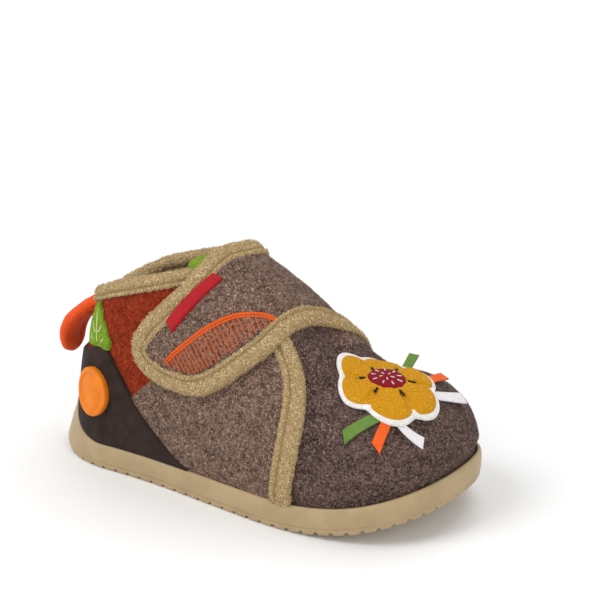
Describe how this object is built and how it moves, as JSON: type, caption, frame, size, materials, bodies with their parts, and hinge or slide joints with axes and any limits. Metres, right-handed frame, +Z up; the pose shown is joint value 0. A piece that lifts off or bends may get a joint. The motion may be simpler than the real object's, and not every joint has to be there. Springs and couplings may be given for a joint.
{
  "type": "felt bootie slipper",
  "caption": "Child's felt bootie slipper with a cupped rubber sole, a bound hook-and-loop strap over the instep, a heel counter, a pull loop and a felt toe patch with ribbon ends.",
  "frame": {"origin": "on the floor under the middle of the sole's length, on the line between the heel and toe centres", "axes": "+X from heel to toe, +Y towards the inner side of the foot, +Z up"},
  "size_m": [0.165, 0.0719, 0.0868],
  "materials": {
    "sole_rubber": "satin matt moulded rubber",
    "footbed": "matt brushed cloth",
    "felt_upper": "matt heathered wool felt",
    "felt_strap": "matt heathered wool felt",
    "felt_tongue": "matt green felt",
    "towelling": "matt looped towelling tape",
    "counter_suede": "matt suede-like sheet",
    "leaf_felt": "matt printed felt",
    "disc_rubber": "satin moulded rubber",
    "loop_cloth": "soft satin padded cloth",
    "label_cloth": "woven tape",
    "patch_felt": "matt felt and looped yarn",
    "ribbon_green": "woven ribbon",
    "ribbon_orange": "woven ribbon",
    "ribbon_white": "woven ribbon"
  },
  "bodies": {
    "root": {"outsole": "sole_rubber", "insole": "footbed", "upper": "felt_upper", "tongue": "felt_tongue", "strap": "felt_strap", "strap_binding": "towelling", "collar_binding": "towelling", "quarter_binding": "towelling", "heel_counter": "counter_suede", "heel_leaf": "leaf_felt", "heel_disc": "disc_rubber", "heel_loop": "loop_cloth", "side_label": "label_cloth", "toe_patch": "patch_felt", "ribbon_green_outer": "ribbon_green", "ribbon_orange_outer": "ribbon_orange", "ribbon_white_outer": "ribbon_white", "ribbon_green_inner": "ribbon_green", "ribbon_orange_inner": "ribbon_orange", "ribbon_white_inner": "ribbon_white"}
  },
  "joints": []
}
